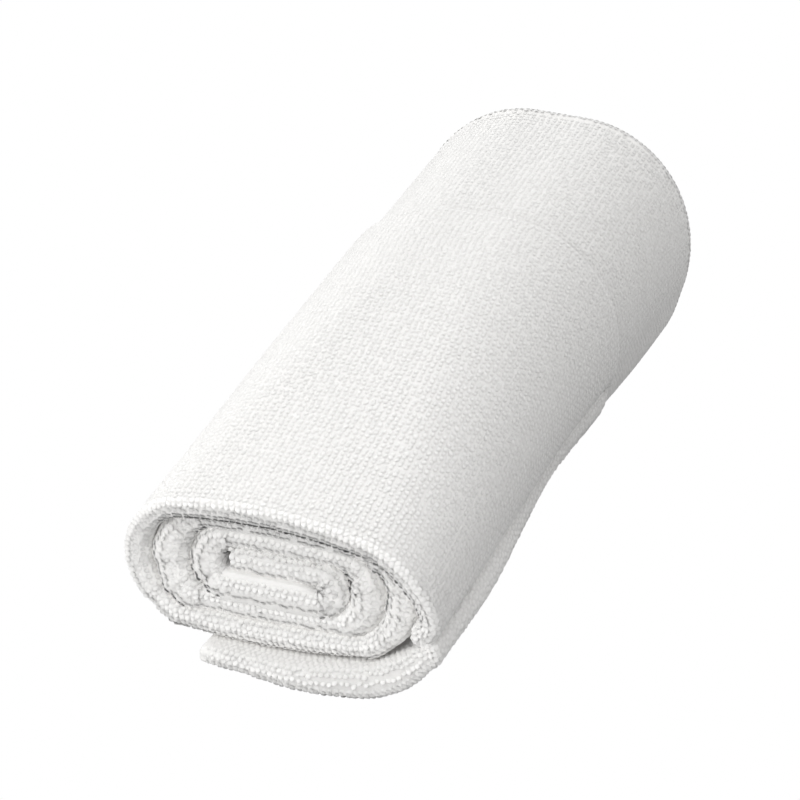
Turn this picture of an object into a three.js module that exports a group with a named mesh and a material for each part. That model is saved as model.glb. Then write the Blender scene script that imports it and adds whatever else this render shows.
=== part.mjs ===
// A white terry bath mat, folded in three along its length and then rolled up, lying on its own tail.
// Millimetres, +Z up. The roll's axis runs along Y, and its near end faces -Y.
// The folded mat is one thick band. The band starts flat in the core and winds outward, clockwise as
// seen from the near end. It comes over the top, down the +X side, and turns under the roll as a tail.
import * as THREE from "three";

// Driving sizes.
const ROLL_LENGTH = 200; // from the fold at the near end to the fold at the far end
const PLY_SHARE = 0.682; // share of that length which the outermost ply covers
const PLY_DROP = 2.2; // how far the surface drops where the outermost ply ends
const PLY_EDGE = 0.012; // share of the length over which it drops
const TURN_GAP = 0.4; // clear space between one turn and the next where they lie flat
const TURNS = 3; // full turns round the core
const HALF_TURNS = 2 * TURNS; // the outermost bend comes after these
const LAYERS = TURNS + 1; // layers of the band below the core, the tail among them
const TAIL_END_X = -21.5; // where the tail stops under the roll
const HEM_SHARE = 0.5; // share of the thickness left at the band's two short ends
const HEM_LENGTH = 0.06; // share of the first run over which the thickness grows

// The rims. Both ends lean with height and stand a little out of square.
const NEAR_RIM = 5; // Y of the near rim at the rim height and in the middle of the width
const NEAR_LEAN = 0.08;
const NEAR_SKEW = 0.09;
const FAR_RIM = NEAR_RIM + ROLL_LENGTH;
const FAR_LEAN = 0.24;
const FAR_SKEW = 0.11;
const RIM_HEIGHT = 28;
const SIDE_SKEW = 0.07; // how much nearer the middle of the length lies towards the -X side
const SIDE_PIVOT_X = 45;

// The roll's shape along its length: the pitch from one turn to the next, half of the straight run
// between the bends of the outermost turn, how much each half turn further in is shorter at its bend,
// how far the crown stands above a flat top, and how far the lower corners lift off the floor.
const SHAPES = [
  { at: 0, pitch: 5.8, run: 31, loss: 3.3, crown: 12, lift: 7.5 },
  { at: 0.2, pitch: 7.6, run: 22, loss: 2.3, crown: 7.4, lift: 4.5 },
  { at: 0.35, pitch: 9, run: 15.6, loss: 1.6, crown: 3.6, lift: 2 },
  { at: 0.5, pitch: 10.1, run: 10.8, loss: 1.3, crown: 1, lift: 0.5 },
  { at: 0.7, pitch: 10.8, run: 9.4, loss: 1.2, crown: 0.4, lift: 0 },
  { at: 1, pitch: 11.6, run: 8.6, loss: 1, crown: 0, lift: 0 },
];

// The crease low on the +X side, the lip under it and the heel below them: places round the outermost
// bend, in degrees above its middle, and how far the surface dips or swells there.
const SIDES = [
  { at: 0, creaseAt: -9, crease: 3, lip: 2.5, heelAt: -26, heel: 1.6 },
  { at: 0.2, creaseAt: -12, crease: 2.8, lip: 2.6, heelAt: -30, heel: 3 },
  { at: 0.35, creaseAt: -12.5, crease: 2.6, lip: 2.1, heelAt: -32, heel: 1 },
  { at: 0.5, creaseAt: -12, crease: 2.4, lip: 1.9, heelAt: -34, heel: -1 },
  { at: 0.62, creaseAt: -11, crease: 2.4, lip: 3.2, heelAt: -36, heel: -1.8 },
  { at: 0.7, creaseAt: -11, crease: 2.2, lip: 3, heelAt: -36, heel: -0.6 },
  { at: 0.8, creaseAt: -11, crease: 0, lip: 0, heelAt: -34, heel: 1.4 },
  { at: 1, creaseAt: -11, crease: 0, lip: 0, heelAt: -34, heel: 1.8 },
];
const HEEL_TURN = [HALF_TURNS + 0.3, HALF_TURNS + 0.8]; // half turns over which the roll becomes the tail
const CREASE_WIDTH = 4.5; // half width of the crease round the bend
const LIP_BELOW = 11; // degrees below the crease at which the cloth swells again
const LIP_WIDTH = 6; // half width of that swelling
const HEEL_WIDTH = 16; // half width of the heel round the bend
const FLOOR_LAYERS = [LAYERS - 0.6, LAYERS - 0.1]; // layers below the core between which the floor is met
const CREASE_ROOM = 1.5; // how much more the inner turns keep back from the side with the crease
const REST_X = 18; // the roll rests on the tail at -REST_X, and the tail leaves the floor at REST_X
const HEEL_LIFT = 2; // how much the tail's underside lifts at the heel, in terms of the roll's lift
const HEEL_FILL = 0.85; // how much of the space that the lift leaves above the tail its plies fill

// How much the plies bulge at the middle of a bend, outward and inward, as shares of the loss. There the
// turns lie further apart than they do above and below the core. Places are in half turns from the core.
const BULGES = [
  { half: 0, outward: 0.95, inward: 0 },
  { half: 1, outward: 0.95, inward: 0 },
  { half: 1.5, outward: 0.95, inward: 0.5 },
  { half: 2.5, outward: 0.95, inward: 0.95 },
  { half: 3.5, outward: 0.95, inward: 0.95 },
  { half: 4.5, outward: 0.3, inward: 0.95 },
  { half: 5.5, outward: 0, inward: 0.95 },
  { half: 6.5, outward: 0, inward: 0 },
  { half: 8, outward: 0, inward: 0 },
];
const CORE_REACH = 0.8; // how far the first run starts towards the centre of the first bend on the -X side

// How far the near rim stands back, by the half turns counted outward from the core.
const SETBACKS = [
  { half: 0, back: 7.5 },
  { half: 1, back: 4.5 },
  { half: 1.5, back: 9 },
  { half: 2, back: 9.5 },
  { half: 2.5, back: 6 },
  { half: 3, back: 4 },
  { half: 3.5, back: 7 },
  { half: 4, back: 9 },
  { half: 4.5, back: 4.5 },
  { half: 5, back: 3 },
  { half: 5.4, back: 4.5 },
  { half: 5.6, back: 4 },
  { half: 6, back: 0 },
  { half: 8, back: 0 },
];

// Degrees round the outermost bend at which the band is cut, and the steps between them.
const OUTER_BEND = [
  { from: 90, to: 24, steps: 7 },
  { from: 24, to: -38, steps: 20 },
  { from: -38, to: -90, steps: 7 },
];

// Places of the points across the band, as shares of the length between its two rounded rims.
const ACROSS = [0.05, 0.12, 0.2, 0.28, 0.36, 0.44, 0.53, 0.62, 0.678, 0.698, 0.76, 0.84, 0.92];
const RIM_STEPS = 4;
const SLOPE_ANGLE = 0.01; // radians on each side of a point of the outermost bend that give its slope
const FIRST_BEND_STEPS = 8;
const MORE_BEND_STEPS = 3; // more for each turn further out
const RUN_STEPS = 3;
const TAIL_STEPS = 5;

const terry = new THREE.MeshStandardMaterial({ color: 0xf2f1ec, roughness: 1, metalness: 0 });

const lerp = THREE.MathUtils.lerp;
const smoothstep = THREE.MathUtils.smoothstep;

// A row of a table worked out for a place between two of its rows.
function rowAt(table, column, place) {
  const next = Math.max(1, table.findIndex((row) => row[column] >= place));
  const a = table[next - 1];
  const b = table[next];
  const t = (place - a[column]) / (b[column] - a[column]);
  const row = {};
  for (const name of Object.keys(a)) row[name] = lerp(a[name], b[name], t);
  return row;
}

// The roll's shape at a share of the length.
function shapeAt(share) {
  const shape = { ...rowAt(SHAPES, "at", share), ...rowAt(SIDES, "at", share) };
  shape.halfBand = (shape.pitch - TURN_GAP) / 2;
  const past = smoothstep(share, PLY_SHARE, PLY_SHARE + PLY_EDGE);
  shape.drop = PLY_DROP * past;
  shape.crease *= 1 - past;
  shape.lip *= 1 - past;
  return shape;
}

// The distance from the roll's middle to the centre of a bend. Bends are counted in half turns
// outward from the core, even ones on the +X side.
function bendCentre(shape, half) {
  const lost = shape.loss * Math.max(0, HALF_TURNS - 1 - half);
  const room = half % 2 === 0 && half < HALF_TURNS ? CREASE_ROOM : 0;
  return shape.run - lost - room;
}

// A station on a bend: an arc about a point on the +X or the -X side.
function bendStation(side, radius, centreLayer, half, degrees, share) {
  const a = THREE.MathUtils.degToRad(degrees);
  return {
    half: half + share,
    at: (shape) => ({
      x: side * bendCentre(shape, half) + radius * shape.pitch * Math.cos(a),
      z: (centreLayer + radius * Math.sin(a)) * shape.pitch,
      nx: Math.cos(a),
      nz: Math.sin(a),
    }),
  };
}

// A station on a straight run in one flat layer, towards the side given.
function runStation(side, layer, half, share) {
  const startOf = (shape) => (half > 0 ? bendCentre(shape, half - 1) : CORE_REACH * bendCentre(shape, 1));
  return {
    half,
    at: (shape) => ({
      x: side * lerp(-startOf(shape), bendCentre(shape, half), share),
      z: layer * shape.pitch,
      nx: 0,
      nz: layer < 0 ? -1 : 1,
    }),
  };
}

// A bell of height 1 about zero, which is flat beyond its width.
function bell(distance, width) {
  return Math.abs(distance) < width ? Math.cos((distance / width) * (Math.PI / 2)) ** 2 : 0;
}

// A station on the outermost bend, which goes down to the floor. Its radius dips at the crease and
// swells at the lip and the heel, and its outward direction turns with that.
function outerBendStation(degrees, share) {
  const a = THREE.MathUtils.degToRad(degrees);
  const radiusAt = (shape, angle) => {
    const radius = (TURNS + 0.5) * shape.pitch;
    const arc = (place) => (angle - THREE.MathUtils.degToRad(place)) * radius;
    const dip = shape.crease * bell(arc(shape.creaseAt), CREASE_WIDTH);
    const lip = shape.lip * bell(arc(shape.creaseAt - LIP_BELOW), LIP_WIDTH);
    return radius - dip + lip + shape.heel * bell(arc(shape.heelAt), HEEL_WIDTH);
  };
  const pointAt = (shape, angle) => ({
    x: bendCentre(shape, HALF_TURNS) + radiusAt(shape, angle) * Math.cos(angle),
    z: -shape.pitch / 2 + radiusAt(shape, angle) * Math.sin(angle),
  });
  return {
    half: HALF_TURNS + share,
    at: (shape) => {
      const p = pointAt(shape, a);
      const before = pointAt(shape, a + SLOPE_ANGLE);
      const after = pointAt(shape, a - SLOPE_ANGLE);
      const length = Math.hypot(after.x - before.x, after.z - before.z);
      return { ...p, nx: -(after.z - before.z) / length, nz: (after.x - before.x) / length };
    },
  };
}

// A station on the tail, flat on the floor.
function tailStation(share) {
  return {
    half: HALF_TURNS + 1 + share,
    at: (shape) => ({
      x: lerp(bendCentre(shape, HALF_TURNS), TAIL_END_X, share),
      z: -LAYERS * shape.pitch,
      nx: 0,
      nz: -1,
    }),
  };
}

// All stations of the band, from its end in the core to the end of the tail.
function bandStations() {
  const stations = [];
  stations.push(runStation(1, 0, 0, 0));
  stations.push(runStation(1, 0, 0, HEM_LENGTH));
  for (let turn = 0; turn < TURNS; turn += 1) {
    const steps = FIRST_BEND_STEPS + MORE_BEND_STEPS * turn;
    for (let i = 1; i < RUN_STEPS; i += 1) stations.push(runStation(1, turn, 2 * turn, i / RUN_STEPS));
    for (let i = 0; i <= steps; i += 1) {
      stations.push(bendStation(1, turn + 0.5, -0.5, 2 * turn, lerp(90, -90, i / steps), i / steps));
    }
    for (let i = 1; i < RUN_STEPS; i += 1) {
      stations.push(runStation(-1, -(turn + 1), 2 * turn + 1, i / RUN_STEPS));
    }
    for (let i = 0; i <= steps; i += 1) {
      stations.push(bendStation(-1, turn + 1, 0, 2 * turn + 1, lerp(-90, -270, i / steps), i / steps));
    }
  }
  for (let i = 1; i < RUN_STEPS; i += 1) stations.push(runStation(1, TURNS, HALF_TURNS, i / RUN_STEPS));
  stations.push(outerBendStation(OUTER_BEND[0].from, 0));
  for (const part of OUTER_BEND) {
    for (let i = 1; i <= part.steps; i += 1) {
      const degrees = lerp(part.from, part.to, i / part.steps);
      stations.push(outerBendStation(degrees, (90 - degrees) / 180));
    }
  }
  for (let i = 1; i <= TAIL_STEPS; i += 1) stations.push(tailStation(i / TAIL_STEPS));
  return stations;
}

// The points across the band: a share of the length, a distance in from the nearer rim, and the
// share of the band's half thickness there, which grows along a quarter circle at a rim.
function acrossPoints() {
  const rim = [];
  for (let i = 0; i < RIM_STEPS; i += 1) {
    const a = (i / RIM_STEPS) * (Math.PI / 2);
    rim.push({ inset: 1 - Math.cos(a), thick: Math.sin(a) });
  }
  const points = rim.map((r) => ({ share: 0, inset: r.inset, end: 1, thick: r.thick }));
  points.push({ share: 0, inset: 1, end: 1, thick: 1 });
  for (const share of ACROSS) points.push({ share, inset: 0, end: 0, thick: 1 });
  points.push({ share: 1, inset: 1, end: -1, thick: 1 });
  for (const r of rim.reverse()) points.push({ share: 1, inset: r.inset, end: -1, thick: r.thick });
  return points;
}

// How far a point of the section is lifted off the floor. The roll's underside curves up on both
// sides of the line it rests on, and the tail curves up at the heel. The tail's inner face rises most
// of the way with the roll.
function liftAt(shape, half, x, height, inwardShare) {
  const halfWidth = shape.run + LAYERS * shape.pitch;
  const roll = ((x + REST_X) / halfWidth) ** 2;
  const heel = HEEL_LIFT * (Math.max(0, x - REST_X) / halfWidth) ** 2;
  const turned = smoothstep(half, ...HEEL_TURN) * (1 - HEEL_FILL * inwardShare);
  return shape.lift * (1 - height) * lerp(roll, heel, turned);
}

// The outer point (face 1) or inner point (face -1) of the band at a station and a point across.
function bandPoint(station, across, face, hem) {
  const shape = shapeAt(across.share);
  const middle = station.at(shape);
  const onFloor = smoothstep(-middle.z / shape.pitch, ...FLOOR_LAYERS);
  const bulge = rowAt(BULGES, "half", station.half);
  const loose = shape.loss * (1 - middle.nz ** 2);
  const outward = shape.halfBand - shape.drop + loose * bulge.outward;
  const inward = shape.halfBand + loose * bulge.inward;
  const reach = (face > 0 ? outward : -inward) * across.thick * hem;
  const x = middle.x + middle.nx * reach;
  const flatZ = middle.z + middle.nz * reach + LAYERS * shape.pitch + shape.halfBand - shape.drop * onFloor;
  const height = Math.max(0, flatZ / shape.pitch - 1) / (HALF_TURNS + 1);
  const arch = shape.crown * height * (1 - (x / (shape.run + LAYERS * shape.pitch)) ** 2);
  const z = flatZ + arch + liftAt(shape, station.half, x, height, Math.max(0, -reach / inward));
  const back = rowAt(SETBACKS, "half", station.half).back;
  const near = NEAR_RIM + NEAR_LEAN * (z - RIM_HEIGHT) + NEAR_SKEW * x + back;
  const far = FAR_RIM + FAR_LEAN * (z - RIM_HEIGHT) + FAR_SKEW * x;
  const side = 4 * across.share * (1 - across.share) * SIDE_SKEW * (x - SIDE_PIVOT_X);
  const rim = shape.halfBand + (loose * (bulge.outward + bulge.inward)) / 2;
  const y = lerp(near, far, across.share) + side + across.end * across.inset * rim;
  return [x, y, z];
}

// A closed mesh of the band, moved so that the middle of its underside is the origin. Each station
// has one ring of points: the outer face from the near rim to the far rim, then the inner face back.
// A strip between the two faces closes each short end.
function bandGeometry() {
  const stations = bandStations();
  const across = acrossPoints();
  const count = across.length;
  const ring = 2 * count - 2;
  const positions = [];
  stations.forEach((station, k) => {
    const hem = k === 0 || k === stations.length - 1 ? HEM_SHARE : 1;
    for (let i = 0; i < count; i += 1) positions.push(...bandPoint(station, across[i], 1, hem));
    for (let i = count - 2; i > 0; i -= 1) positions.push(...bandPoint(station, across[i], -1, hem));
  });
  const index = [];
  for (let k = 0; k < stations.length - 1; k += 1) {
    for (let i = 0; i < ring; i += 1) {
      const a = k * ring + i;
      const b = k * ring + ((i + 1) % ring);
      index.push(a, a + ring, b, b, a + ring, b + ring);
    }
  }
  for (const first of [0, (stations.length - 1) * ring]) {
    for (let i = 0; i < count - 1; i += 1) {
      const outer = [first + i, first + i + 1];
      const inner = [first + ((ring - i) % ring), first + ring - i - 1];
      const flip = first > 0;
      const quad = [outer[0], outer[1], inner[1], inner[0]];
      const faces = [[quad[0], quad[1], quad[2]], [quad[0], quad[2], quad[3]]];
      for (const f of faces) {
        if (new Set(f).size === 3) index.push(...(flip ? [f[0], f[2], f[1]] : f));
      }
    }
  }
  const geometry = new THREE.BufferGeometry();
  geometry.setAttribute("position", new THREE.Float32BufferAttribute(positions, 3));
  geometry.setIndex(index);
  geometry.computeVertexNormals();
  geometry.computeBoundingBox();
  const middle = geometry.boundingBox.getCenter(new THREE.Vector3());
  return geometry.translate(-middle.x, -middle.y, -geometry.boundingBox.min.z);
}

const rolledMat = new THREE.Mesh(bandGeometry(), terry);
rolledMat.name = "rolled_mat";

const part = new THREE.Group();
part.add(rolledMat);

export default part;
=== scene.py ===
"""A white terry bath mat, folded in three along its length and rolled up, lying on its own tail.

The folded mat is a band of three plies. The band is wound as in the part's source: half turn by half
turn it runs straight and then turns round a bend, clockwise as seen from the near end. The ground
cloth is one sheet carried along that path, and the pile is rows of small yarn loops on it.
Lengths in the tables and functions are millimetres. Meshes are in metres.
"""

import bpy
import numpy as np
from mathutils import Matrix, Vector


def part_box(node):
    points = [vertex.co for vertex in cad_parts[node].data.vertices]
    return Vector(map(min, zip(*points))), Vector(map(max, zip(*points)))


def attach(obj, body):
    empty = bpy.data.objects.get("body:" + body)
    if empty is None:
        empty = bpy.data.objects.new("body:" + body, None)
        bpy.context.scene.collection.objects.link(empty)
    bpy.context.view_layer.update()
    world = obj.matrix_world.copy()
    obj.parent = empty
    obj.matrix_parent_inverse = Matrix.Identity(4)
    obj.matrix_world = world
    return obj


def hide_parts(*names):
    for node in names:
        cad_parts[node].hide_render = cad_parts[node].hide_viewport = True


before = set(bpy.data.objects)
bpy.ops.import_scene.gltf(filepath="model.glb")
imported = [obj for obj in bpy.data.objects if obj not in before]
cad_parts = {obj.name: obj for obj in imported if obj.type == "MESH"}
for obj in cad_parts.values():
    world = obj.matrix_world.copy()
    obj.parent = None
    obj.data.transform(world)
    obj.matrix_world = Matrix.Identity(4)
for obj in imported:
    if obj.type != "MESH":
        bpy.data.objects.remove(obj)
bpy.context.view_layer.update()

MM = 0.001  # metres

# Driving sizes of the mat and its roll.
ROLL_LENGTH = 200  # from the fold at the near end to the fold at the far end
TURNS = 3
HALF_TURNS = 2 * TURNS
LAYERS = TURNS + 1
TURN_GAP = 0.4
TAIL_END_X = -21.5
OUTER_PLY_SHARE = 0.675  # share of the length that the outermost ply covers
INNER_PLY_SHARE = 0.22  # the innermost ply covers the length from here on
PLY_DROP = 2.2  # how far the surface drops past the outermost ply
STEP_TROUGH = 1.2  # depth of the shallow trough just before that ply's edge
STEP_TROUGH_WIDTH = 0.02  # half of its width, as a share of the length
STEP_BLUR = (-0.008, 0.004)  # the surface drops between these shares from that ply's edge
INNER_PLY_SPAN = (-0.12, 0.06)  # the innermost ply works its way in between these, from its own edge
OUTER_PLY_SPAN = (-0.02, 0.006)  # and the outermost ply out of the band

# The rims. Both ends lean with height and stand a little out of square.
NEAR_RIM = 5
NEAR_LEAN = 0.08
NEAR_SKEW = 0.09
FAR_RIM = NEAR_RIM + ROLL_LENGTH
FAR_LEAN = 0.24
FAR_SKEW = 0.11
RIM_HEIGHT = 28
SIDE_SKEW = 0.07
SIDE_PIVOT_X = 45

# The roll's shape at shares of its length, nearly as in the part's source: the band's thickness with its
# gap, half the length of the straight runs, how much shorter each inner turn is, the height of the
# crown's arch and how far the lower corners are lifted.
SHAPES = {
    "at": [0, 0.2, 0.35, 0.5, 0.7, 1],
    "pitch": [5.8, 7.6, 9, 10.1, 10.8, 11.6],
    "run": [31, 22, 15.6, 10.8, 9.4, 8.6],
    "loss": [3.3, 2.3, 1.6, 1.3, 1.2, 1],
    "crown": [12, 7.4, 3.6, 1, 0.4, 0],
    "lift": [7.5, 4.5, 2, 0.5, 0, 0],
}
# The right side: a crease between the roll and its tail, a lip below the crease, and the heel where the
# roll turns into the tail, in degrees round the outermost bend and in depths or heights.
SIDES = {
    "at": [0, 0.2, 0.35, 0.5, 0.62, 0.7, 0.8, 1],
    "crease_at": [-11, -15, -16, -15.5, -14.5, -14, -11, -11],
    "crease": [2.6, 2.2, 2.1, 2, 2, 1.8, 0, 0],
    "lip": [2.5, 2.6, 2.1, 2, 2, 0.4, 0, 0],
    "heel_at": [-26, -30, -32, -34, -36, -36, -34, -34],
    "heel": [1.6, 3, 1, -1, -1.3, 1.6, 2.4, 1.8],
}
CREASE_WIDTH = 6  # half width of the broad dip
CUT_WIDTH = 1.4  # half width of the sharp line in the bottom of the crease
CUT_DEPTH = 1.2  # as a share of the crease's own depth
LIP_BELOW = 8  # degrees below the crease at which the cloth swells again
LIP_WIDTH = 5
HEEL_WIDTH = 16
CREASE_ROOM = 1.5  # room that the inner turns leave for the crease on the right

# The floor. The roll rests on it at REST_X, and its lower corners are lifted to both sides of that.
HEEL_TURN = (HALF_TURNS + 0.3, HALF_TURNS + 0.8)  # half turns over which the heel's own lift sets in
FLOOR_LAYERS = (LAYERS - 0.6, LAYERS - 0.1)  # band thicknesses below the middle that lie on the floor
REST_X = 18
HEEL_LIFT = 2
HEEL_FILL = 0.85  # share of the gap above the heel that its inner face keeps filled

# How far back the near rim lies from half turn to half turn, and how far the plies bulge into the
# looser bends, outward and inward, as shares of the room there.
SETBACKS = {
    "half": [0, 1, 1.5, 2, 2.5, 3, 3.5, 4, 4.5, 5, 5.4, 5.6, 6, 6.4, 6.8, 7.1, 7.3, 7.7, 8],
    "back": [6.5, 4.5, 7, 7.5, 5.5, 4, 5.5, 7, 4.5, 3, 5, 4.5, 1, -0.5, -1.8, -3.2, -5, -4, -3.5],
}
BULGES = {
    "half": [0, 1, 1.5, 2.5, 3.5, 4.5, 5.5, 6, 6.5, 8],
    "outward": [0.95, 0.95, 0.95, 0.95, 0.95, 0.3, 0, 0, 0, 0],
    "inward": [0, 0, 0.5, 0.95, 0.95, 0.95, 0.95, 0.95, 0, 0],
}
LOOSE_POWER = 1.1  # the room falls off with this power of the sideways part of the outward direction
CORE_REACH = 0.93  # the innermost run starts at this share of the next one
RIM_WAVES = ((0.5, 2.3, 0.4), (0.4, 5.1, 1.9), (0.3, 9.7, 3.0))  # mm, waves a half turn, start
RIM_WAVE_SHARE = 0.12  # share of the length over which the near rim's waves die out
RIM_CALM = 0.8  # how much flatter the waves are outside, and the half turns where that sets in
RIM_CALM_SPAN = (5, 5.6)

# The pile. Loops stand in rows along the roll, as the loom made them.
PILE = 0.4  # room that the pile takes above the ground cloth
ROW_PITCH = 1.92  # from row to row, round the roll
LOOP_PITCH = 1.6  # from loop to loop in a row
LOOP_LENGTH = 1.15  # half of a loop's length along its row
LOOP_WIDTH = 0.85  # half of its width across the row
LOOP_SHOULDER = 0.72  # its breadth and height at the shoulder, as shares of the whole
LOOP_HEIGHT = 0.26  # of its top above the ground cloth
FAR_LOOP_HEIGHT = 0.85  # share of that past the outermost ply's edge, where the pile lies flatter
FAR_RIM_LOOP_HEIGHT = 0.5  # the same again on the far rim
RIM_LOOP_SIZE = 1.1  # of the loops on the near fold, where the cloth is stretched
ROW_LEAN = (-0.25, -0.05)  # how far rows drift round the roll for each mm along it, near and far
ROW_LEAN_FROM = 0.5  # share of the length where the drift starts to change
ROW_CHANCE = 0.12  # how far loops stray from their row, in mm
ALONG_CHANCE = 0.2  # and along it
YAW_CHANCE = 0.3  # how far they turn out of it, in radians
TILT_CHANCE = 0.16  # and lean, as the slope of their tops
SIZE_CHANCE = 0.09
FAR_RIM_FROM = 0.93  # share of the length where the far rim's flatter pile sets in
PILE_SCATTER = 0.85  # how far the pile's shading follows the cloth instead of each yarn
AHEAD_STEP = 0.3  # mesh places to both sides, from which a row's direction is taken
SEED = 11

# Where each part of the pile shows, in half turns from the core or as a share of the length.
OUTSIDE_FROM = 4.9  # the outermost turn
CROWN_HALF = 5.99  # the crown, from which rows are counted both ways
FLOOR_FROM = 7.02  # the tail, whose underside has none on its near edge
RIM_SHARE = 0.06  # both rims, where the inner turns show too
PRESSED_FROM = 0.5
PRESSED_FACING = 0.65  # between straight turns, none stand where the cloth faces its neighbour
STRAIGHT = 0.02  # half turns from a whole number that still count as a straight run

# A thin crease where the loops part, on the upper right of the near end: its distance from the tip of
# the near fold by half turns, and its half width.
RIM_LINE = {"half": [6.14, 6.3, 6.42], "from_tip": [3.5, 4.5, 6.5]}
RIM_LINE_WIDTH = 0.5

# How finely the ground cloth is drawn.
STATION_COUNT = 380
BEND_WEIGHT = 3  # a radian of bend gets as many stations as this many millimetres
CREASE_WEIGHT = 20  # and so does the crease, between these degrees below level
CREASE_SPAN = (4, 24)
PLY_STEPS = {"outer": 28, "middle": 30, "inner": 18}
STEP_STEPS = 10  # more of them where the outermost ply ends, between these shares from its edge
STEP_SPAN = (-0.03, 0.02)
PLY_EASE = 0.3  # how far a ply's steps draw together at its ends
FOLD_STEPS = 15
NEAR_FOLD_DEPTH = 0.32  # the turns squeeze each other flatter than half circles there
NEAR_FOLD_SQUARE = 0.5
FOLD_RIDGE = 0.2  # height of the three soft ridges round the near fold
RIM_SQUEEZE = 1.4  # how far the near rims of neighbouring turns press into each other
CORE_SQUEEZE = 0.7  # and how much more at the core, which ends between these half turns
CORE_SPAN = (1.2, 2.2)
FOLD_INSET = 0.025  # share at which a ply's flat face meets its fold
HEM_ROUND = 1.2
HEM_ANGLES = (0, 15, 35, 60, 90)  # degrees round the hem's edge at which stations stand
HEM_THINNEST = 0.003  # square of the share of its thickness that the cloth keeps at its very edge
HEM_WIDTH = 1.6  # no loops stand nearer to the edge than this
HEM_FADE = 5  # they grow to their full size over this length to both sides of that
LOOPS_A_PIECE = 7600

# Soft light: each lamp's watts and place from the camera's target, in metres, and the even light.
LAMPS = {
    "front_light": (15.4, (-0.35, -1.35, 0.6)),
    "top_light": (6.2, (-0.3, 0.1, 1.5)),
    "left_light": (3.1, (-1.35, 0.1, 0.75)),
}
ROOM_LIGHT = 0.74

# The camera, from the outline of the part in the photograph: degrees, then millimetres.
CAMERA_TURN = 26.5
CAMERA_TILT = 33.98
CAMERA_TARGET = (-33.5, 43.6, 0)
CAMERA_DISTANCE = 881
CAMERA_LENS = 112.5


def smoothstep(x, low, high):
    """0 below low, 1 above high, and 3t^2 - 2t^3 between them."""
    t = np.clip((x - low) / (high - low), 0, 1)
    return t * t * (3 - 2 * t)


def smooth_table(table, key, place):
    """Every column of a table at the places given, as cubic curves through its rows.

    Each stretch is the Hermite cubic whose end slopes are the table's own differences."""
    at = np.asarray(table[key], float)
    i = np.clip(np.searchsorted(at, place, side="right") - 1, 0, len(at) - 2)
    width = at[i + 1] - at[i]
    t = np.clip((place - at[i]) / width, 0, 1)
    rows = {}
    for name, values in table.items():
        values = np.asarray(values, float)
        slope = np.gradient(values, at)
        rows[name] = (
            (2 * t**3 - 3 * t**2 + 1) * values[i]
            + (t**3 - 2 * t**2 + t) * width * slope[i]
            + (3 * t**2 - 2 * t**3) * values[i + 1]
            + (t**3 - t**2) * width * slope[i + 1]
        )
    return rows


def shape_at(share):
    """The roll's shape at shares of its length.

    half_band is half the band's thickness. drop is the step past the outermost ply's edge with the
    shallow trough before it. The crease and the lip end at that step."""
    shape = smooth_table(SHAPES, "at", share)
    shape.update(smooth_table(SIDES, "at", share))
    past = smoothstep(share - OUTER_PLY_SHARE, *STEP_BLUR)
    shape["half_band"] = (shape["pitch"] - TURN_GAP) / 2
    trough, _ = bell(share - OUTER_PLY_SHARE + STEP_TROUGH_WIDTH, STEP_TROUGH_WIDTH)
    shape["drop"] = PLY_DROP * past + STEP_TROUGH * trough
    for name in ("crease", "lip"):
        shape[name] = shape[name] * (1 - past)
    return shape


def bend_centres(shape):
    """Distance from the roll's middle to each bend's centre, a row for each half turn from the core.

    It is the outermost run, less what each turn further in loses, less the room for the crease."""
    half = np.arange(HALF_TURNS + 1)[:, None]
    lost = shape["loss"] * np.maximum(0, HALF_TURNS - 1 - half)
    room = CREASE_ROOM * ((half % 2 == 0) & (half < HALF_TURNS))
    return shape["run"] - lost - room


def winding():
    """Stations along the band from the core to the end of the tail, close together.

    A station's middle is at x = weights . bend centres + tail * TAIL_END_X
    + radius * pitch * cos(angle) and z = (centre + radius * sin(angle)) * pitch. The angle falls by 180
    degrees at each bend."""
    fine = np.linspace(0, 1, 120, endpoint=False)
    parts = []
    for half in range(HALF_TURNS + 2):
        side = 1 if half % 2 == 0 else -1
        last = half == HALF_TURNS + 1
        run = np.zeros((fine.size, HALF_TURNS + 1))
        if half:
            run[:, half - 1] = -side * (1 - fine)
        else:
            run[:, 1] = -CORE_REACH * (1 - fine)
        if not last:
            run[:, half] = side * fine
        radius = (min(half, HALF_TURNS) + 1) / 2
        centre = -0.5 if side > 0 or last else 0.0
        start = 90 - 180 * half
        size = np.ones(fine.size)
        straight = np.column_stack([
            run, fine * last, radius * size, centre * size, start * size, half + fine * last,
        ])
        parts.append(straight)
        if not last:
            turn = np.zeros_like(run)
            turn[:, half] = side
            parts.append(np.column_stack([
                turn, 0 * size, radius * size, centre * size, start - 180 * fine, half + fine,
            ]))
    return np.concatenate(parts)


def unpack(stations):
    """The columns of a table of stations by name."""
    count = HALF_TURNS + 1
    names = ("tail", "radius", "centre", "angle", "half")
    columns = {name: stations[:, count + i][:, None] for i, name in enumerate(names)}
    columns["weights"] = stations[:, :count]
    return columns


def bell(distance, width):
    """cos^2 of the distance, 1 in the middle and 0 from the width on, with its slope."""
    inside = np.abs(distance) < width
    height = np.where(inside, np.cos(distance / width * np.pi / 2) ** 2, 0)
    slope = np.where(inside, -np.pi / (2 * width) * np.sin(distance / width * np.pi), 0)
    return height, slope


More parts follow.
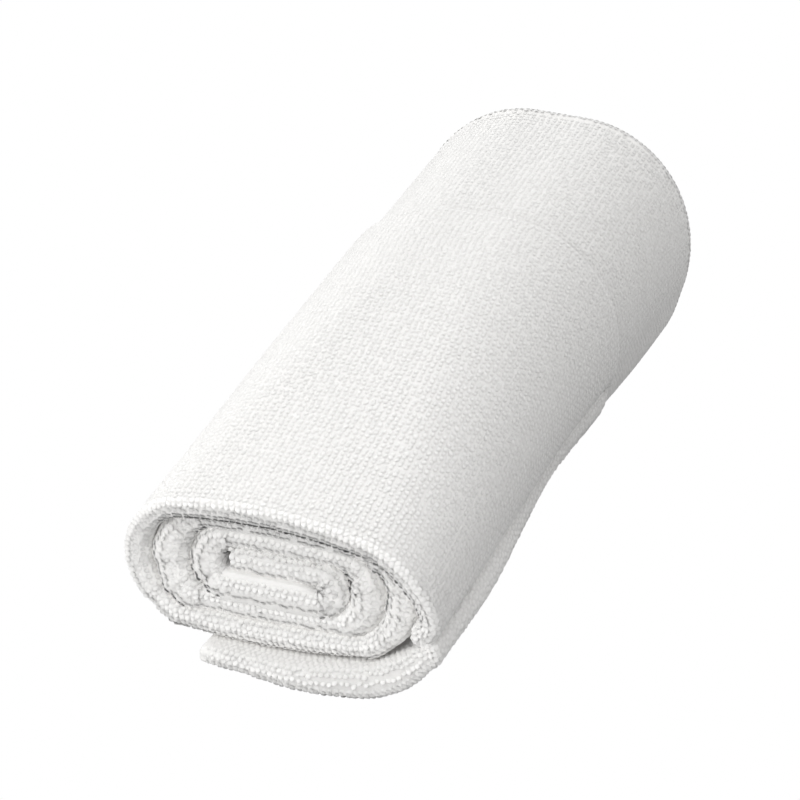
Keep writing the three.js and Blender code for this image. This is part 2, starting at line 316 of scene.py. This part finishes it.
def wound(stations, share, reach, out):
    """Points of the roll for n stations and m places across the band, as an array (n, m, 3).

    share is the place along the roll's length, reach the distance outward from the middle of the band,
    and out the distance added along Y. Both grow where the plies bulge at a bend, and at the near rim.
    The outermost bend's radius gets the crease as two bells inward, and the lip and the heel as a bell
    each outward. The outward direction follows from the radius and its slope. The section is worked out
    flat, then its crown is arched, its lower corners are lifted, and both rims lean and wave."""
    s = unpack(stations)
    shape = shape_at(share)
    pitch = shape["pitch"]
    angle = np.radians(s["angle"])
    base = s["radius"] * pitch
    outer = s["half"] >= HALF_TURNS
    local = angle + 2 * np.pi * TURNS
    dip, dip_slope = bell((local - np.radians(shape["crease_at"])) * base, CREASE_WIDTH)
    cut, cut_slope = bell((local - np.radians(shape["crease_at"])) * base, CUT_WIDTH)
    lip, lip_slope = bell((local - np.radians(shape["crease_at"] - LIP_BELOW)) * base, LIP_WIDTH)
    dent = shape["crease"] * (dip + CUT_DEPTH * cut) - shape["lip"] * lip
    dent_slope = shape["crease"] * (dip_slope + CUT_DEPTH * cut_slope) - shape["lip"] * lip_slope
    swell, swell_slope = bell((local - np.radians(shape["heel_at"])) * base, HEEL_WIDTH)
    radius = base + outer * (shape["heel"] * swell - dent)
    slope = outer * (shape["heel"] * swell_slope - dent_slope) * base
    cos, sin = np.cos(angle), np.sin(angle)
    middle_x = s["weights"] @ bend_centres(shape) + s["tail"] * TAIL_END_X + radius * cos
    middle_z = s["centre"] * pitch + radius * sin
    normal_x = radius * cos + slope * sin
    normal_z = radius * sin - slope * cos
    length = np.hypot(normal_x, normal_z)
    half_band = shape["half_band"]
    on_floor = smoothstep(-middle_z / pitch, *FLOOR_LAYERS)
    place = np.clip(s["half"], 0, HALF_TURNS + 2)
    outward = np.interp(place, BULGES["half"], BULGES["outward"])
    inward = np.interp(place, BULGES["half"], BULGES["inward"])
    loose = shape["loss"] * np.abs(normal_x / length) ** LOOSE_POWER
    rim = RIM_SQUEEZE + CORE_SQUEEZE * (1 - smoothstep(s["half"], *CORE_SPAN))
    rim = rim * (1 - smoothstep(share, 0, RIM_SHARE))
    bulge_out = loose * outward + rim * (s["half"] < OUTSIDE_FROM)
    bulge = np.where(reach > 0, bulge_out, loose * inward + rim)
    reach = reach * (1 + bulge / half_band)
    out = out * (1 + loose * (outward + inward) / 2 / half_band)
    x = middle_x + reach * normal_x / length
    flat_z = middle_z + reach * normal_z / length
    flat_z = flat_z + LAYERS * pitch + half_band - shape["drop"] * on_floor
    height = np.maximum(0, flat_z / pitch - 1) / (HALF_TURNS + 1)
    half_width = shape["run"] + LAYERS * pitch
    arch = shape["crown"] * height * (1 - (x / half_width) ** 2)
    roll_lift = ((x + REST_X) / half_width) ** 2
    heel_lift = HEEL_LIFT * (np.maximum(0, x - REST_X) / half_width) ** 2
    inward_share = np.clip(-reach / (half_band + loose * inward), 0, 1)
    turned = smoothstep(s["half"], *HEEL_TURN) * (1 - HEEL_FILL * inward_share)
    lift = shape["lift"] * (1 - height) * (roll_lift + (heel_lift - roll_lift) * turned)
    z = flat_z + arch + lift
    back = smooth_table(SETBACKS, "half", s["half"])["back"]
    waves = sum(
        size * np.sin(2 * np.pi * (count * s["half"] + start)) for size, count, start in RIM_WAVES
    )
    waves = waves * (1 - RIM_CALM * smoothstep(s["half"], *RIM_CALM_SPAN))
    back = back + waves * (1 - smoothstep(share, 0, RIM_WAVE_SHARE))
    near = NEAR_RIM + NEAR_LEAN * (z - RIM_HEIGHT) + NEAR_SKEW * x + back
    far = FAR_RIM + FAR_LEAN * (z - RIM_HEIGHT) + FAR_SKEW * x
    side = 4 * share * (1 - share) * SIDE_SKEW * (x - SIDE_PIVOT_X)
    y = near + (far - near) * share + side + out
    return np.stack([x, y, z], axis=-1)


def ply_faces(share):
    """The six faces of the three plies through the band, from the outermost inward.

    Near the near rim there are two plies, in the middle three, and past the outer ply's edge two."""
    shape = shape_at(share)
    half_band = shape["half_band"]
    top = half_band - shape["drop"]
    three = smoothstep(share - INNER_PLY_SHARE, *INNER_PLY_SPAN)
    past = smoothstep(share - OUTER_PLY_SHARE, *OUTER_PLY_SPAN)
    upper = three * half_band / 3 + past * (top - half_band / 3)
    lower = -half_band + three * half_band * 2 / 3 + past * (half_band / 3 - shape["drop"] / 2)
    return {
        "outer": (half_band - PILE, upper + PILE),
        "middle": (upper - PILE, lower + PILE),
        "inner": (lower - PILE, -half_band + PILE),
    }


def ply_shares(start, end, count):
    """Shares from one end of a ply to the other, a little closer together at both ends."""
    t = np.linspace(0, np.pi, count)
    eased = (1 - PLY_EASE) * t / np.pi + PLY_EASE * (1 - np.cos(t)) / 2
    return start + (end - start) * eased


def cloth_path():
    """The middle line of the mat across the band, a row for each point, with named columns.

    It starts at the free edge of the outermost ply, turns round the near fold, runs the whole length
    as the middle ply, turns round the far fold and ends at the free edge of the innermost ply. The far
    fold is half a circle. The near fold is flatter and squarer, with three soft ridges. The side columns
    are the direction to the cloth's first face, and half is half of the ground cloth's thickness. first
    and second are the half turns from which on each face shows."""
    near, far = shape_at(np.array([0.0])), shape_at(np.array([1.0]))
    near_half = near["half_band"][0]
    far_centre = -far["drop"][0] / 2
    far_half = far["half_band"][0] + far_centre
    never = HALF_TURNS + 9
    rows = []

    def ply(name, share, side, first, second):
        high, low = ply_faces(share)[name]
        one = np.ones(share.size)
        rows.append(np.column_stack([
            share, (high + low) / 2, 0 * one, side * one, 0 * one, (high - low) / 2, first, second,
        ]))

    def fold(share, centre, radius, way, depth, square, ridge, first, second):
        turn = np.radians(np.linspace(0, 180, FOLD_STEPS))
        ridges = ridge * np.sin(turn) * np.cos(6 * turn)
        one = np.ones(turn.size)
        rows.append(np.column_stack([
            share * one,
            centre + radius / 2 * np.cos(turn),
            way * (radius * depth * (np.sin(turn) ** square / 2 - 1) + ridges),
            -way * np.cos(turn),
            -np.sin(turn),
            (radius / 2 - PILE) * one,
            first * one,
            second * one,
        ]))

    share = ply_shares(OUTER_PLY_SHARE, FOLD_INSET, PLY_STEPS["outer"])
    ply("outer", share, 1, np.where(share < RIM_SHARE, 0, OUTSIDE_FROM), never + 0 * share)
    fold(0, 0, near_half, -1, NEAR_FOLD_DEPTH, NEAR_FOLD_SQUARE, FOLD_RIDGE, 0, never)
    even = ply_shares(FOLD_INSET, 1 - FOLD_INSET, PLY_STEPS["middle"])
    step = OUTER_PLY_SHARE + np.linspace(*STEP_SPAN, STEP_STEPS)
    share = np.unique(np.concatenate([even, step]))
    second = np.where(share > OUTER_PLY_SHARE, OUTSIDE_FROM, never)
    first = np.where(share < RIM_SHARE, 0, never)
    ply("middle", share, -1, first, np.where(share > 1 - RIM_SHARE, 0, second))
    fold(1, far_centre, far_half, 1, 1, 1, 0, never, 0)
    share = ply_shares(1 - FOLD_INSET, INNER_PLY_SHARE, PLY_STEPS["inner"])
    ply("inner", share, 1, never + 0 * share, np.where(share > 1 - RIM_SHARE, 0, never))
    names = ("share", "reach", "out", "side_reach", "side_out", "half", "first", "second")
    return dict(zip(names, np.concatenate(rows).T))


def beside(stations, path, distance):
    """Points beside the cloth's middle line, shaped (n, m, 3).

    They lie at a signed distance from it toward the first face."""
    reach = path["reach"] + distance * path["side_reach"]
    out = path["out"] + distance * path["side_out"]
    return wound(stations, path["share"], reach, out)


def stations_along(stations, path):
    """Stations spaced for the mesh, each with its distance along the band in the last column.

    Spacing is even in distance plus a share of the turning, so that tight bends get more of them, and
    a few stand close together at both ends of the band, where the hem rounds off."""
    middle = {name: column[:1] for name, column in path.items()}
    middle["share"] = np.array([0.5])
    middle["reach"] = np.array([0.0])
    line = beside(stations, middle, 0)[:, 0][:, [0, 2]]
    steps = np.linalg.norm(np.diff(line, axis=0), axis=1)
    along = np.concatenate([[0], np.cumsum(steps)])
    turned = -np.radians(unpack(stations)["angle"][:, 0] - 90)
    below = np.degrees(turned) - 360 * TURNS - 90
    effort = along + BEND_WEIGHT * turned + CREASE_WEIGHT * smoothstep(below, *CREASE_SPAN)
    even = np.interp(np.linspace(0, effort[-1], STATION_COUNT), effort, along)
    hem = HEM_ROUND * (1 - np.cos(np.radians(HEM_ANGLES)))
    clear = 1.4 * HEM_ROUND
    inside = even[(even > clear) & (even < along[-1] - clear)]
    wanted = np.concatenate([hem, inside, along[-1] - hem[::-1]])
    columns = [np.interp(wanted, along, column) for column in stations.T]
    return np.column_stack(columns + [wanted])


def hem_taper(along):
    """Share of the cloth's thickness at each station: 1, and a quarter circle down at both ends."""
    inward = np.minimum(along, along[-1] - along)
    short = np.clip(1 - inward / HEM_ROUND, 0, 1)
    return np.sqrt(np.maximum(HEM_THINNEST, 1 - short * short))


def link(obj_name, mesh, material):
    """A new object in the scene, riding on the root, with its material."""
    obj = bpy.data.objects.new(obj_name, mesh)
    bpy.context.scene.collection.objects.link(obj)
    mesh.materials.append(material)
    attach(obj, "root")
    return obj


def mesh_from(name, points, faces, uv=None, outward=None):
    """A smooth mesh from arrays of points in metres and of faces with equal numbers of corners.

    outward is the cloth's own direction under each point. Light scatters from yarn to yarn in white
    pile, so its shading follows that direction more than the side of each yarn."""
    mesh = bpy.data.meshes.new(name)
    corners = faces.shape[1]
    mesh.vertices.add(len(points))
    mesh.vertices.foreach_set("co", points.astype(np.float32).ravel())
    mesh.loops.add(faces.size)
    mesh.loops.foreach_set("vertex_index", faces.astype(np.int32).ravel())
    mesh.polygons.add(len(faces))
    mesh.polygons.foreach_set("loop_start", np.arange(0, faces.size, corners, dtype=np.int32))
    mesh.update(calc_edges=True)
    mesh.shade_smooth()
    if uv is not None:
        layer = mesh.uv_layers.new(name="cloth")
        layer.data.foreach_set("uv", uv[faces.ravel()].astype(np.float32).ravel())
    mesh.validate()
    if outward is not None:
        own = np.empty(points.size, np.float32)
        mesh.vertices.foreach_get("normal", own)
        blend = unit(own.reshape(-1, 3) * (1 - PILE_SCATTER) + outward * PILE_SCATTER)
        mesh.normals_split_custom_set_from_vertices(blend.tolist())
    return mesh


def ground_cloth(stations, path):
    """The whole ground cloth as one closed mesh: both faces, both free edges and both hems.

    Round the section go the first face forward, half a circle at the innermost ply's edge, the second
    face backward and half a circle at the outermost ply's edge."""
    along = stations[:, -1]
    band = stations[:, :-1]
    taper = hem_taper(along)[:, None]
    half = path["half"] * taper
    first = beside(band, path, half)
    second = beside(band, path, -half)

    def edge(index, toward):
        """Four points of half a circle round a free edge, from the first face to the second."""
        end = {name: column[[index]] for name, column in path.items()}
        turn = np.radians(np.array([36, 72, 108, 144]))
        reach = end["reach"] + half[:, [index]] * np.cos(turn) * end["side_reach"]
        out = end["out"] + half[:, [index]] * np.sin(turn) * toward
        return wound(band, np.repeat(end["share"], turn.size), reach, out)

    inner = edge(-1, -1)
    outer = edge(0, 1)[:, ::-1]
    points = np.concatenate([outer[:, 2:], first, inner, second[:, ::-1], outer[:, :2]], axis=1)
    rows, places = points.shape[:2]
    index = np.arange(rows * places).reshape(rows, places)
    right = np.roll(index, -1, axis=1)
    quads = np.stack([index[:-1], right[:-1], right[1:], index[1:]], axis=-1).reshape(-1, 4)
    low = np.arange(places // 2 - 1)
    hem = np.stack([low, places - 1 - low, places - 2 - low, low + 1], axis=-1)
    far_hem = (rows - 1) * places + hem[:, ::-1]
    uv = np.stack([np.repeat(along, places), np.tile(np.arange(places) * 1.0, rows)], axis=-1) * MM
    return points.reshape(-1, 3), np.concatenate([quads, hem, far_hem]), uv


def unit(vectors):
    """Vectors made one long."""
    return vectors / np.maximum(np.linalg.norm(vectors, axis=-1, keepdims=True), 1e-9)


def on_grid(grid, row, place):
    """Values of a grid (n, m, 3) between its points, straight from one to the next."""
    row = np.clip(row, 0, grid.shape[0] - 1.001)
    place = np.clip(place, 0, grid.shape[1] - 1.001)
    i, j = row.astype(int), place.astype(int)
    u, v = (row - i)[:, None], (place - j)[:, None]
    low = grid[i, j] * (1 - v) + grid[i, j + 1] * v
    high = grid[i + 1, j] * (1 - v) + grid[i + 1, j + 1] * v
    return low * (1 - u) + high * u


def loop_shape():
    """One loop of soft yarn as points (along its row, across it, height) and faces, closed below.

    It is a low pillow: a point at the top, a ring of six at its shoulder and a ring of six at its foot."""
    turn = np.radians(np.arange(6) * 60)
    ring = np.column_stack([LOOP_LENGTH * np.cos(turn), LOOP_WIDTH * np.sin(turn), 0 * turn])
    shoulder = ring * LOOP_SHOULDER + [0, 0, LOOP_SHOULDER * LOOP_HEIGHT]
    foot = ring - [0, 0, LOOP_HEIGHT]
    points = np.concatenate([[[0, 0, LOOP_HEIGHT]], shoulder, foot])
    here, there = np.arange(6), (np.arange(6) + 1) % 6
    faces = [
        np.stack([0 * here, here + 1, there + 1], axis=-1),
        np.stack([here + 1, here + 7, there + 7], axis=-1),
        np.stack([here + 1, there + 7, there + 1], axis=-1),
        [[7, 9, 8], [7, 10, 9], [7, 11, 10], [7, 12, 11]],
    ]
    return points, np.concatenate(faces)


def pile(stations, path, which, rng):
    """Points of every loop on one face of the cloth, shaped (loops, points, 3), and its way up.

    Rows stand an even distance apart round the band, counted both ways from the crown of the roll, and
    drift round it along its length. In a row, loops are an even distance apart with a little left to
    chance, and only where the face shows. They are smaller toward the hems and flatter past the
    outermost ply's edge and on the far rim."""
    band = stations[:, :-1]
    count = len(band)
    surface = beside(band, path, which * path["half"])
    behind = beside(band, path, -which * path["half"])
    middle = surface[count // 2]
    across = np.concatenate([[0], np.cumsum(np.linalg.norm(np.diff(middle, axis=0), axis=1))])
    places = np.arange(len(across))
    loop_at = np.arange(LOOP_PITCH / 2, across[-1], LOOP_PITCH)
    column = np.interp(loop_at, across, places)
    lines = on_grid(surface, np.repeat(np.arange(count), len(column)), np.tile(column, count))
    steps = np.linalg.norm(np.diff(lines.reshape(count, -1, 3), axis=0), axis=2)
    travelled = np.concatenate([np.zeros((1, len(column))), np.cumsum(steps, axis=0)])
    half = unpack(band)["half"][:, 0]
    crown = np.searchsorted(half, CROWN_HALF)
    y = lines.reshape(count, -1, 3)[crown, :, 1]
    share = np.interp(column, places, path["share"])
    lean = ROW_LEAN[0] + (ROW_LEAN[1] - ROW_LEAN[0]) * smoothstep(share, ROW_LEAN_FROM, OUTER_PLY_SHARE)
    order = np.argsort(y)
    drift = np.zeros(y.size)
    drift[order[1:]] = np.cumsum(np.diff(y[order]) * lean[order[1:]])
    travelled -= travelled[crown] + drift
    row_at = ROW_PITCH * np.arange(travelled.min() // ROW_PITCH, travelled.max() // ROW_PITCH + 1)
    chance = rng.normal(0, ROW_CHANCE, (len(column), len(row_at)))
    row = np.stack([
        np.interp(row_at + chance[i], travelled[:, i], np.arange(count), left=-1, right=-1)
        for i in range(len(column))
    ])
    place = np.interp(loop_at[:, None] + rng.normal(0, ALONG_CHANCE, row.shape), across, places)
    to_end = stations[-1, -1] - np.interp(row, np.arange(count), stations[:, -1])
    half = np.interp(row, np.arange(count), half)
    shows = np.interp(place, places, path["first" if which > 0 else "second"])
    keep = (row > 0) & (to_end > HEM_WIDTH) & (half >= shows) & ((shows < 1) | (half < FLOOR_FROM))
    from_tip = across[np.argmax(path["side_out"])] - np.interp(place, places, across)
    facing = np.interp(place, places, np.abs(path["side_out"]))
    straight = np.abs(half - np.round(half)) < STRAIGHT
    inside = (half > PRESSED_FROM) & (half < OUTSIDE_FROM)
    keep &= ~(straight & inside & (facing < PRESSED_FACING))
    line_at = np.interp(half, RIM_LINE["half"], RIM_LINE["from_tip"], left=np.inf, right=np.inf)
    keep &= np.abs(from_tip - line_at) > RIM_LINE_WIDTH
    on_fold = np.interp(place, places, path["share"] == 0)
    row, place, on_fold = row[keep], place[keep], on_fold[keep][:, None]
    grown = smoothstep(to_end[keep][:, None], HEM_WIDTH - HEM_FADE, HEM_WIDTH + HEM_FADE)
    share = np.interp(place, places, path["share"])[:, None]
    upright = 1 - (1 - FAR_LOOP_HEIGHT) * (share > OUTER_PLY_SHARE)
    upright *= 1 - (1 - FAR_RIM_LOOP_HEIGHT) * smoothstep(share, FAR_RIM_FROM, 1)
    base = on_grid(surface, row, place)
    up = unit(base - on_grid(behind, row, place))
    ahead = on_grid(surface, row, place + AHEAD_STEP) - on_grid(surface, row, place - AHEAD_STEP)
    ahead = unit(ahead - (ahead * up).sum(axis=1, keepdims=True) * up)
    beside_row = np.cross(up, ahead)
    count = len(base)
    yaw = rng.normal(0, YAW_CHANCE, (count, 1))
    span = np.cos(yaw) * ahead + np.sin(yaw) * beside_row
    side = np.cross(up, span)
    lean_ahead = rng.normal(0, TILT_CHANCE, (count, 1)) * ahead
    lean_beside = rng.normal(0, TILT_CHANCE, (count, 1)) * beside_row
    rise = unit(up + lean_ahead + lean_beside)
    size = rng.normal(1, SIZE_CHANCE, (count, 1)) * (1 + (RIM_LOOP_SIZE - 1) * on_fold) * grown
    shape, _ = loop_shape()
    points = base[:, None]
    for axis, direction, scale in ((0, span, size), (1, side, size), (2, rise, size * upright)):
        points = points + (scale * shape[:, axis])[:, :, None] * direction[:, None]
    return points, np.broadcast_to(up[:, None], points.shape)


def principled(name, colour, roughness):
    """A material with one Principled shader, its tree and that shader."""
    material = bpy.data.materials.new(name)
    material.use_nodes = True
    shader = material.node_tree.nodes["Principled BSDF"]
    shader.inputs["Base Color"].default_value = (*linear(colour), 1)
    shader.inputs["Roughness"].default_value = roughness
    return material, material.node_tree, shader


def linear(colour):
    """An sRGB hex colour as three linear values."""
    parts = [int(colour[i:i + 2], 16) / 255 for i in (1, 3, 5)]
    return [c / 12.92 if c <= 0.04045 else ((c + 0.055) / 1.055) ** 2.4 for c in parts]


def add_node(tree, kind, settings=(), values=(), links=()):
    """A new node with its settings, its input values and the sockets linked into it."""
    made = tree.nodes.new(kind)
    for name, value in dict(settings).items():
        setattr(made, name, value)
    for name, value in dict(values).items():
        made.inputs[name].default_value = value
    for name, socket in dict(links).items():
        tree.links.new(socket, made.inputs[name])
    return made


def cotton(name, colour):
    """White cotton yarn: matt with a soft sheen at grazing angles, and faintly uneven in relief."""
    material, tree, shader = principled(name, colour, 0.95)
    shader.inputs["Subsurface Weight"].default_value = 0.25
    shader.inputs["Subsurface Radius"].default_value = (1, 1, 1)
    shader.inputs["Subsurface Scale"].default_value = 3 * MM
    shader.inputs["Sheen Weight"].default_value = 0.25
    shader.inputs["Sheen Roughness"].default_value = 0.5
    place = add_node(tree, "ShaderNodeTexCoord")
    fibre = add_node(
        tree, "ShaderNodeTexNoise",
        values={"Scale": 1 / (0.35 * MM), "Detail": 3, "Roughness": 0.6},
        links={"Vector": place.outputs["Object"]},
    )
    relief = add_node(
        tree, "ShaderNodeBump",
        values={"Strength": 0.5, "Distance": 0.15 * MM},
        links={"Height": fibre.outputs["Fac"]},
    )
    tree.links.new(relief.outputs["Normal"], shader.inputs["Normal"])
    return material


def studio(target):
    """A plain white floor and soft light: three broad lamps and an even light from all round."""
    material = bpy.data.materials.new("white floor")
    material.use_nodes = True
    tree = material.node_tree
    tree.nodes.clear()
    paper = add_node(tree, "ShaderNodeBsdfDiffuse", values={"Color": (0.35, 0.35, 0.35, 1)})
    glow = add_node(tree, "ShaderNodeEmission", values={"Color": (1, 1, 1, 1), "Strength": 1.0})
    seen = add_node(tree, "ShaderNodeLightPath")
    both = add_node(tree, "ShaderNodeMixShader")
    tree.links.new(seen.outputs["Is Camera Ray"], both.inputs[0])
    tree.links.new(paper.outputs[0], both.inputs[1])
    tree.links.new(glow.outputs[0], both.inputs[2])
    output = add_node(tree, "ShaderNodeOutputMaterial")
    tree.links.new(both.outputs[0], output.inputs["Surface"])
    bpy.ops.mesh.primitive_plane_add(size=12, location=(0, 0, -0.0005))
    floor = bpy.context.object
    floor.name = "floor"
    floor.data.materials.append(material)

    world = bpy.data.worlds.new("room")
    bpy.context.scene.world = world
    world.use_nodes = True
    world.node_tree.nodes["Background"].inputs["Color"].default_value = (1, 1, 1, 1)
    world.node_tree.nodes["Background"].inputs["Strength"].default_value = ROOM_LIGHT

    for name, (energy, offset) in LAMPS.items():
        lamp = bpy.data.lights.new(name, "AREA")
        lamp.shape = "DISK"
        lamp.size = 2
        lamp.energy = energy
        holder = bpy.data.objects.new(name, lamp)
        bpy.context.scene.collection.objects.link(holder)
        holder.location = target + Vector(offset)
        holder.rotation_euler = (target - holder.location).to_track_quat("-Z", "Y").to_euler()
    bpy.context.scene.view_settings.view_transform = "Standard"


def camera():
    """The camera, turned, tilted and as far off as the part's outline in the photograph says."""
    turn, tilt = np.radians(CAMERA_TURN), np.radians(CAMERA_TILT)
    back = Vector((np.sin(turn) * np.cos(tilt), -np.cos(turn) * np.cos(tilt), np.sin(tilt)))
    target = Vector(CAMERA_TARGET) * MM
    data = bpy.data.cameras.new("camera")
    data.lens = CAMERA_LENS
    data.sensor_width = 36
    data.clip_start = 0.01
    obj = bpy.data.objects.new("camera", data)
    bpy.context.scene.collection.objects.link(obj)
    right = Vector((np.cos(turn), np.sin(turn), 0))
    up = back.cross(right)
    axes = Matrix((right, up, back)).transposed().to_4x4()
    obj.matrix_world = Matrix.Translation(target + back * CAMERA_DISTANCE * MM) @ axes
    bpy.context.scene.camera = obj
    return target


def main():
    """Builds the mat, its pile, the floor, the light and the camera."""
    low, high = (np.array(corner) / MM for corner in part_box("rolled_mat"))
    path = cloth_path()
    stations = stations_along(winding(), path)
    envelope = np.concatenate([
        beside(stations[:, :-1], path, path["half"] + PILE),
        beside(stations[:, :-1], path, -path["half"] - PILE),
    ]).reshape(-1, 3)
    shift = (low + high) / 2 - (envelope.min(axis=0) + envelope.max(axis=0)) / 2
    shift[1] = high[1] - envelope[:, 1].max()
    shift[2] = low[2] - envelope[:, 2].min()
    # Loose white yarn, which the eye sees as soft light dots in rows.
    loop_cotton = cotton("white cotton terry", "#F9F8F6")
    # The firm weave below it, painted a slightly deeper white that stands for the shade in the gaps
    # between the loops.
    weave_cotton_painted_shade = cotton("white cotton ground weave, painted shade", "#E9E8E6")
    rng = np.random.default_rng(SEED)

    points, faces, uv = ground_cloth(stations, path)
    # The ground cloth takes that painted shade all over, hems and bare strips included.
    cloth = link("bath_mat", mesh_from("bath_mat", (points + shift) * MM, faces, uv), weave_cotton_painted_shade)
    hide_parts("rolled_mat")

    both = [pile(stations, path, 1, rng), pile(stations, path, -1, rng)]
    loops, ups = (np.concatenate(part) for part in zip(*both))
    _, loop_faces = loop_shape()
    loops = (loops + shift) * MM
    for start in range(0, len(loops), LOOPS_A_PIECE):
        part = loops[start:start + LOOPS_A_PIECE]
        count, corners = part.shape[:2]
        faces = (loop_faces + (np.arange(count) * corners)[:, None, None]).reshape(-1, 3)
        name = f"pile_{start // LOOPS_A_PIECE + 1}"
        outward = ups[start:start + LOOPS_A_PIECE].reshape(-1, 3)
        mesh = mesh_from(name, part.reshape(-1, 3), faces, outward=outward)
        link(name, mesh, loop_cotton)

    studio(camera())


main()
